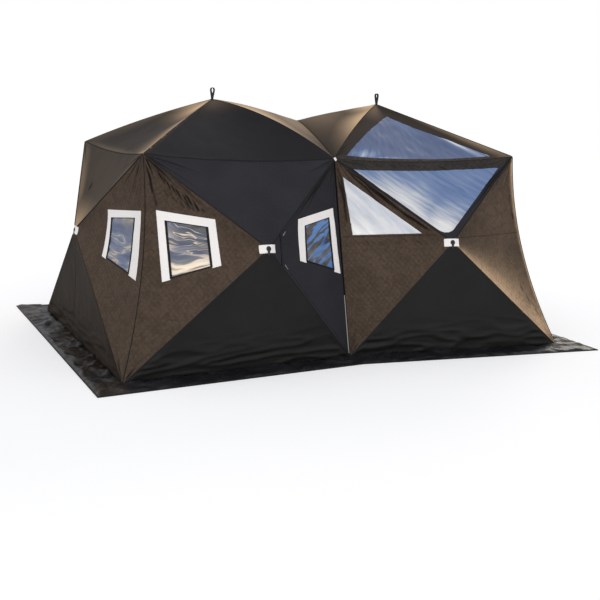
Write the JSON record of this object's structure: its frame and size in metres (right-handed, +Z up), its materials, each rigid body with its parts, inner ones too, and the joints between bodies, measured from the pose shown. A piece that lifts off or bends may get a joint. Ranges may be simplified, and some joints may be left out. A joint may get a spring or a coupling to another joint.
{
  "type": "sauna tent",
  "caption": "Two-bay pop-up hub tent for a sauna, with quilted walls, clear roof and wall windows, a zipped door, a flue opening and a ground skirt.",
  "frame": {"origin": "on the ground under the middle of the tent", "axes": "+X along the long side to the right seen from the front, +Y to the back, +Z up; the door is in the front, which faces -Y"},
  "size_m": [4.6, 3.4752, 2.2305],
  "materials": {
    "brown_quilted_cloth": "quilted, matt",
    "charcoal_cloth": "matt woven",
    "hub_nylon": "moulded, satin",
    "jack_silicone": "coated glass cloth",
    "pole_fibreglass": "fibreglass rod",
    "skirt_cloth": "coated, low sheen",
    "webbing": "woven strap",
    "window_film": "clear, wrinkled film",
    "window_frame": "smooth, pale",
    "zip_zinc": "cast, satin"
  },
  "bodies": {
    "shell": {"cover_front_left": "charcoal_cloth", "cover_front_right": "brown_quilted_cloth", "cover_back_left": "charcoal_cloth", "cover_back_right": "brown_quilted_cloth", "cover_end_left": "brown_quilted_cloth", "cover_roof_left": "charcoal_cloth", "cover_end_right": "brown_quilted_cloth", "cover_roof_right": "charcoal_cloth", "ground_skirt": "skirt_cloth", "window_end_left": "window_frame", "window_front_left": "window_frame", "sky_window_roof": "window_film", "sky_window_front_top": "window_film", "sky_window_front_side": "window_film", "stove_jack": "jack_silicone"},
    "hub_front_left": {"hub_front_left": "hub_nylon"},
    "pole_front_left_upper_outer": {"pole_front_left_upper_outer": "pole_fibreglass"},
    "pole_front_left_upper_waist": {"pole_front_left_upper_waist": "pole_fibreglass"},
    "pole_front_left_lower_waist": {"pole_front_left_lower_waist": "pole_fibreglass"},
    "pole_front_left_lower_outer": {"pole_front_left_lower_outer": "pole_fibreglass"},
    "hub_front_right": {"hub_front_right": "hub_nylon"},
    "pole_front_right_upper_outer": {"pole_front_right_upper_outer": "pole_fibreglass"},
    "pole_front_right_upper_waist": {"pole_front_right_upper_waist": "pole_fibreglass"},
    "pole_front_right_lower_waist": {"pole_front_right_lower_waist": "pole_fibreglass"},
    "pole_front_right_lower_outer": {"pole_front_right_lower_outer": "pole_fibreglass"},
    "hub_back_left": {"hub_back_left": "hub_nylon"},
    "pole_back_left_upper_outer": {"pole_back_left_upper_outer": "pole_fibreglass"},
    "pole_back_left_upper_waist": {"pole_back_left_upper_waist": "pole_fibreglass"},
    "pole_back_left_lower_waist": {"pole_back_left_lower_waist": "pole_fibreglass"},
    "pole_back_left_lower_outer": {"pole_back_left_lower_outer": "pole_fibreglass"},
    "hub_back_right": {"hub_back_right": "hub_nylon"},
    "pole_back_right_upper_outer": {"pole_back_right_upper_outer": "pole_fibreglass"},
    "pole_back_right_upper_waist": {"pole_back_right_upper_waist": "pole_fibreglass"},
    "pole_back_right_lower_waist": {"pole_back_right_lower_waist": "pole_fibreglass"},
    "pole_back_right_lower_outer": {"pole_back_right_lower_outer": "pole_fibreglass"},
    "hub_end_left": {"hub_end_left": "hub_nylon"},
    "pole_end_left_upper_front": {"pole_end_left_upper_front": "pole_fibreglass"},
    "pole_end_left_upper_back": {"pole_end_left_upper_back": "pole_fibreglass"},
    "pole_end_left_lower_back": {"pole_end_left_lower_back": "pole_fibreglass"},
    "pole_end_left_lower_front": {"pole_end_left_lower_front": "pole_fibreglass"},
    "hub_roof_left": {"hub_roof_left": "hub_nylon"},
    "pole_roof_left_front_outer": {"pole_roof_left_front_outer": "pole_fibreglass"},
    "pole_roof_left_front_waist": {"pole_roof_left_front_waist": "pole_fibreglass"},
    "pole_roof_left_back_waist": {"pole_roof_left_back_waist": "pole_fibreglass"},
    "pole_roof_left_back_outer": {"pole_roof_left_back_outer": "pole_fibreglass"},
    "hub_end_right": {"hub_end_right": "hub_nylon"},
    "pole_end_right_upper_front": {"pole_end_right_upper_front": "pole_fibreglass"},
    "pole_end_right_upper_back": {"pole_end_right_upper_back": "pole_fibreglass"},
    "pole_end_right_lower_back": {"pole_end_right_lower_back": "pole_fibreglass"},
    "pole_end_right_lower_front": {"pole_end_right_lower_front": "pole_fibreglass"},
    "hub_roof_right": {"hub_roof_right": "hub_nylon"},
    "pole_roof_right_front_outer": {"pole_roof_right_front_outer": "pole_fibreglass"},
    "pole_roof_right_front_waist": {"pole_roof_right_front_waist": "pole_fibreglass"},
    "pole_roof_right_back_waist": {"pole_roof_right_back_waist": "pole_fibreglass"},
    "pole_roof_right_back_outer": {"pole_roof_right_back_outer": "pole_fibreglass"},
    "door_frame": {"door_zip_tape": "webbing"},
    "door": {"door_panel": "charcoal_cloth", "window_door": "window_frame"},
    "zip_upper": {"zip_slider_upper": "zip_zinc"},
    "zip_lower": {"zip_slider_lower": "zip_zinc"}
  },
  "joints": [
    {"name": "pop_front_left", "type": "slide", "parent": "shell", "child": "hub_front_left", "axis": [-0.1002, 0.9634, -0.2487], "range_m": [0, 0.658], "deforming": ["cover_front_left", "window_front_left"]},
    {"name": "swing_front_left_upper_outer", "type": "hinge", "parent": "hub_front_left", "child": "pole_front_left_upper_outer", "pos_m": [-0.88572, -1.38984, 1.0106], "axis": [0.6778, 0.2491, 0.6918], "range_deg": [0, 32.48]},
    {"name": "swing_front_left_upper_waist", "type": "hinge", "parent": "hub_front_left", "child": "pole_front_left_upper_waist", "pos_m": [-0.82987, -1.38453, 1.00867], "axis": [0.6636, -0.1215, -0.7382], "range_deg": [0, 31.66]},
    {"name": "swing_front_left_lower_waist", "type": "hinge", "parent": "hub_front_left", "child": "pole_front_left_lower_waist", "pos_m": [-0.83157, -1.39781, 0.9579], "axis": [-0.7104, -0.2442, -0.66], "range_deg": [0, 29.78]},
    {"name": "swing_front_left_lower_outer", "type": "hinge", "parent": "hub_front_left", "child": "pole_front_left_lower_outer", "pos_m": [-0.88708, -1.40253, 0.96201], "axis": [-0.6371, 0.1299, 0.7598], "range_deg": [0, 25.28]},
    {"name": "pop_front_right", "type": "slide", "parent": "shell", "child": "hub_front_right", "axis": [0.1002, 0.9634, -0.2487], "range_m": [0, 0.658], "deforming": ["cover_front_right", "sky_window_front_top", "sky_window_front_side"]},
    {"name": "swing_front_right_upper_outer", "type": "hinge", "parent": "hub_front_right", "child": "pole_front_right_upper_outer", "pos_m": [0.88572, -1.38984, 1.0106], "axis": [0.6778, -0.2491, -0.6918], "range_deg": [0, 32.48]},
    {"name": "swing_front_right_upper_waist", "type": "hinge", "parent": "hub_front_right", "child": "pole_front_right_upper_waist", "pos_m": [0.82987, -1.38453, 1.00867], "axis": [0.6636, 0.1215, 0.7382], "range_deg": [0, 31.66]},
    {"name": "swing_front_right_lower_waist", "type": "hinge", "parent": "hub_front_right", "child": "pole_front_right_lower_waist", "pos_m": [0.83157, -1.39781, 0.9579], "axis": [-0.7104, 0.2442, 0.66], "range_deg": [0, 29.78]},
    {"name": "swing_front_right_lower_outer", "type": "hinge", "parent": "hub_front_right", "child": "pole_front_right_lower_outer", "pos_m": [0.88708, -1.40253, 0.96201], "axis": [-0.6371, -0.1299, -0.7598], "range_deg": [0, 25.28]},
    {"name": "pop_back_left", "type": "slide", "parent": "shell", "child": "hub_back_left", "axis": [-0.1002, -0.9634, -0.2487], "range_m": [0, 0.658], "deforming": ["cover_back_left"]},
    {"name": "swing_back_left_upper_outer", "type": "hinge", "parent": "hub_back_left", "child": "pole_back_left_upper_outer", "pos_m": [-0.88572, 1.38984, 1.0106], "axis": [-0.6778, 0.2491, -0.6918], "range_deg": [0, 32.48]},
    {"name": "swing_back_left_upper_waist", "type": "hinge", "parent": "hub_back_left", "child": "pole_back_left_upper_waist", "pos_m": [-0.82987, 1.38453, 1.00867], "axis": [-0.6636, -0.1215, 0.7382], "range_deg": [0, 31.66]},
    {"name": "swing_back_left_lower_waist", "type": "hinge", "parent": "hub_back_left", "child": "pole_back_left_lower_waist", "pos_m": [-0.83157, 1.39781, 0.9579], "axis": [0.7104, -0.2442, 0.66], "range_deg": [0, 29.78]},
    {"name": "swing_back_left_lower_outer", "type": "hinge", "parent": "hub_back_left", "child": "pole_back_left_lower_outer", "pos_m": [-0.88708, 1.40253, 0.96201], "axis": [0.6371, 0.1299, -0.7598], "range_deg": [0, 25.28]},
    {"name": "pop_back_right", "type": "slide", "parent": "shell", "child": "hub_back_right", "axis": [0.1002, -0.9634, -0.2487], "range_m": [0, 0.658], "deforming": ["cover_back_right"]},
    {"name": "swing_back_right_upper_outer", "type": "hinge", "parent": "hub_back_right", "child": "pole_back_right_upper_outer", "pos_m": [0.88572, 1.38984, 1.0106], "axis": [-0.6778, -0.2491, 0.6918], "range_deg": [0, 32.48]},
    {"name": "swing_back_right_upper_waist", "type": "hinge", "parent": "hub_back_right", "child": "pole_back_right_upper_waist", "pos_m": [0.82987, 1.38453, 1.00867], "axis": [-0.6636, 0.1215, -0.7382], "range_deg": [0, 31.66]},
    {"name": "swing_back_right_lower_waist", "type": "hinge", "parent": "hub_back_right", "child": "pole_back_right_lower_waist", "pos_m": [0.83157, 1.39781, 0.9579], "axis": [0.7104, 0.2442, -0.66], "range_deg": [0, 29.78]},
    {"name": "swing_back_right_lower_outer", "type": "hinge", "parent": "hub_back_right", "child": "pole_back_right_lower_outer", "pos_m": [0.88708, 1.40253, 0.96201], "axis": [0.6371, -0.1299, 0.7598], "range_deg": [0, 25.28]},
    {"name": "pop_end_left", "type": "slide", "parent": "shell", "child": "hub_end_left", "axis": [0.9847, 0, -0.1741], "range_m": [0, 0.3675], "deforming": ["cover_end_left", "window_end_left"]},
    {"name": "swing_end_left_upper_front", "type": "hinge", "parent": "hub_end_left", "child": "pole_end_left_upper_front", "pos_m": [-2.02806, -0.03016, 1.01132], "axis": [-0.1382, -0.6085, -0.7814], "range_deg": [0, 17.48]},
    {"name": "swing_end_left_upper_back", "type": "hinge", "parent": "hub_end_left", "child": "pole_end_left_upper_back", "pos_m": [-2.02806, 0.03016, 1.01132], "axis": [0.1382, -0.6085, 0.7814], "range_deg": [0, 17.48]},
    {"name": "swing_end_left_lower_back", "type": "hinge", "parent": "hub_end_left", "child": "pole_end_left_lower_back", "pos_m": [-2.03577, 0.03156, 0.96772], "axis": [0.1446, 0.5569, 0.8179], "range_deg": [0, 12.31]},
    {"name": "swing_end_left_lower_front", "type": "hinge", "parent": "hub_end_left", "child": "pole_end_left_lower_front", "pos_m": [-2.03577, -0.03156, 0.96772], "axis": [-0.1446, 0.5569, -0.8179], "range_deg": [0, 12.31]},
    {"name": "pop_roof_left", "type": "slide", "parent": "shell", "child": "hub_roof_left", "axis": [-0.023, 0, -0.9997], "range_m": [0, 0.868], "deforming": ["cover_roof_left", "stove_jack"]},
    {"name": "swing_roof_left_front_outer", "type": "hinge", "parent": "hub_roof_left", "child": "pole_roof_left_front_outer", "pos_m": [-0.85618, -0.02798, 2.09379], "axis": [-0.7362, 0.6765, 0.0169], "range_deg": [0, 37.14]},
    {"name": "swing_roof_left_front_waist", "type": "hinge", "parent": "hub_roof_left", "child": "pole_roof_left_front_waist", "pos_m": [-0.80312, -0.02636, 2.09257], "axis": [-0.6936, -0.7202, 0.0159], "range_deg": [0, 42.09]},
    {"name": "swing_roof_left_back_waist", "type": "hinge", "parent": "hub_roof_left", "child": "pole_roof_left_back_waist", "pos_m": [-0.80312, 0.02636, 2.09257], "axis": [0.6936, -0.7202, -0.0159], "range_deg": [0, 42.09]},
    {"name": "swing_roof_left_back_outer", "type": "hinge", "parent": "hub_roof_left", "child": "pole_roof_left_back_outer", "pos_m": [-0.85618, 0.02798, 2.09379], "axis": [0.7362, 0.6765, -0.0169], "range_deg": [0, 37.14]},
    {"name": "pop_end_right", "type": "slide", "parent": "shell", "child": "hub_end_right", "axis": [-0.9847, 0, -0.1741], "range_m": [0, 0.3675], "deforming": ["cover_end_right"]},
    {"name": "swing_end_right_upper_front", "type": "hinge", "parent": "hub_end_right", "child": "pole_end_right_upper_front", "pos_m": [2.02806, -0.03016, 1.01132], "axis": [-0.1382, 0.6085, 0.7814], "range_deg": [0, 17.48]},
    {"name": "swing_end_right_upper_back", "type": "hinge", "parent": "hub_end_right", "child": "pole_end_right_upper_back", "pos_m": [2.02806, 0.03016, 1.01132], "axis": [0.1382, 0.6085, -0.7814], "range_deg": [0, 17.48]},
    {"name": "swing_end_right_lower_back", "type": "hinge", "parent": "hub_end_right", "child": "pole_end_right_lower_back", "pos_m": [2.03577, 0.03156, 0.96772], "axis": [0.1446, -0.5569, -0.8179], "range_deg": [0, 12.31]},
    {"name": "swing_end_right_lower_front", "type": "hinge", "parent": "hub_end_right", "child": "pole_end_right_lower_front", "pos_m": [2.03577, -0.03156, 0.96772], "axis": [-0.1446, -0.5569, 0.8179], "range_deg": [0, 12.31]},
    {"name": "pop_roof_right", "type": "slide", "parent": "shell", "child": "hub_roof_right", "axis": [0.023, 0, -0.9997], "range_m": [0, 0.868], "deforming": ["cover_roof_right", "sky_window_roof"]},
    {"name": "swing_roof_right_front_outer", "type": "hinge", "parent": "hub_roof_right", "child": "pole_roof_right_front_outer", "pos_m": [0.85618, -0.02798, 2.09379], "axis": [-0.7362, -0.6765, -0.0169], "range_deg": [0, 37.14]},
    {"name": "swing_roof_right_front_waist", "type": "hinge", "parent": "hub_roof_right", "child": "pole_roof_right_front_waist", "pos_m": [0.80312, -0.02636, 2.09257], "axis": [-0.6936, 0.7202, -0.0159], "range_deg": [0, 42.09]},
    {"name": "swing_roof_right_back_waist", "type": "hinge", "parent": "hub_roof_right", "child": "pole_roof_right_back_waist", "pos_m": [0.80312, 0.02636, 2.09257], "axis": [0.6936, 0.7202, 0.0159], "range_deg": [0, 42.09]},
    {"name": "swing_roof_right_back_outer", "type": "hinge", "parent": "hub_roof_right", "child": "pole_roof_right_back_outer", "pos_m": [0.85618, 0.02798, 2.09379], "axis": [0.7362, -0.6765, 0.0169], "range_deg": [0, 37.14]},
    {"name": "door_frame_fold", "type": "hinge", "parent": "shell", "child": "door_frame", "pos_m": [0, -1.00924, 0.88563], "axis": [0, -0.2499, -0.9683], "range_deg": [0, 40.44]},
    {"name": "door_swing", "type": "hinge", "parent": "door_frame", "child": "door", "pos_m": [-0.0107, -1.01449, 0.88698], "axis": [0, 0.2499, 0.9683], "range_deg": [0, 100]},
    {"name": "zip_upper_slide", "type": "slide", "parent": "door_frame", "child": "zip_upper", "axis": [0.6848, 0.496, 0.5339], "range_m": [0, 0.94]},
    {"name": "zip_lower_slide", "type": "slide", "parent": "door_frame", "child": "zip_lower", "axis": [0.6463, 0.1447, -0.7492], "range_m": [0, 1]}
  ],
  "couplings": [
    {"joint": "swing_front_left_upper_outer", "follows": "pop_front_left", "rad_per_m": 0.86094},
    {"joint": "swing_front_left_upper_waist", "follows": "pop_front_left", "rad_per_m": 0.83922},
    {"joint": "swing_front_left_lower_waist", "follows": "pop_front_left", "rad_per_m": 0.78938},
    {"joint": "swing_front_left_lower_outer", "follows": "pop_front_left", "rad_per_m": 0.67012},
    {"joint": "swing_front_right_upper_outer", "follows": "pop_front_right", "rad_per_m": 0.86094},
    {"joint": "swing_front_right_upper_waist", "follows": "pop_front_right", "rad_per_m": 0.83922},
    {"joint": "swing_front_right_lower_waist", "follows": "pop_front_right", "rad_per_m": 0.78938},
    {"joint": "swing_front_right_lower_outer", "follows": "pop_front_right", "rad_per_m": 0.67012},
    {"joint": "swing_back_left_upper_outer", "follows": "pop_back_left", "rad_per_m": 0.86094},
    {"joint": "swing_back_left_upper_waist", "follows": "pop_back_left", "rad_per_m": 0.83922},
    {"joint": "swing_back_left_lower_waist", "follows": "pop_back_left", "rad_per_m": 0.78938},
    {"joint": "swing_back_left_lower_outer", "follows": "pop_back_left", "rad_per_m": 0.67012},
    {"joint": "swing_back_right_upper_outer", "follows": "pop_back_right", "rad_per_m": 0.86094},
    {"joint": "swing_back_right_upper_waist", "follows": "pop_back_right", "rad_per_m": 0.83922},
    {"joint": "swing_back_right_lower_waist", "follows": "pop_back_right", "rad_per_m": 0.78938},
    {"joint": "swing_back_right_lower_outer", "follows": "pop_back_right", "rad_per_m": 0.67012},
    {"joint": "swing_end_left_upper_front", "follows": "pop_end_left", "rad_per_m": 0.829},
    {"joint": "swing_end_left_upper_back", "follows": "pop_end_left", "rad_per_m": 0.829},
    {"joint": "swing_end_left_lower_back", "follows": "pop_end_left", "rad_per_m": 0.58368},
    {"joint": "swing_end_left_lower_front", "follows": "pop_end_left", "rad_per_m": 0.58368},
    {"joint": "swing_roof_left_front_outer", "follows": "pop_roof_left", "rad_per_m": 0.74632},
    {"joint": "swing_roof_left_front_waist", "follows": "pop_roof_left", "rad_per_m": 0.84586},
    {"joint": "swing_roof_left_back_waist", "follows": "pop_roof_left", "rad_per_m": 0.84586},
    {"joint": "swing_roof_left_back_outer", "follows": "pop_roof_left", "rad_per_m": 0.74632},
    {"joint": "swing_end_right_upper_front", "follows": "pop_end_right", "rad_per_m": 0.829},
    {"joint": "swing_end_right_upper_back", "follows": "pop_end_right", "rad_per_m": 0.829},
    {"joint": "swing_end_right_lower_back", "follows": "pop_end_right", "rad_per_m": 0.58368},
    {"joint": "swing_end_right_lower_front", "follows": "pop_end_right", "rad_per_m": 0.58368},
    {"joint": "swing_roof_right_front_outer", "follows": "pop_roof_right", "rad_per_m": 0.74632},
    {"joint": "swing_roof_right_front_waist", "follows": "pop_roof_right", "rad_per_m": 0.84586},
    {"joint": "swing_roof_right_back_waist", "follows": "pop_roof_right", "rad_per_m": 0.84586},
    {"joint": "swing_roof_right_back_outer", "follows": "pop_roof_right", "rad_per_m": 0.74632},
    {"joint": "door_frame_fold", "follows": "pop_front_left", "rad_per_m": 1.0721}
  ]
}
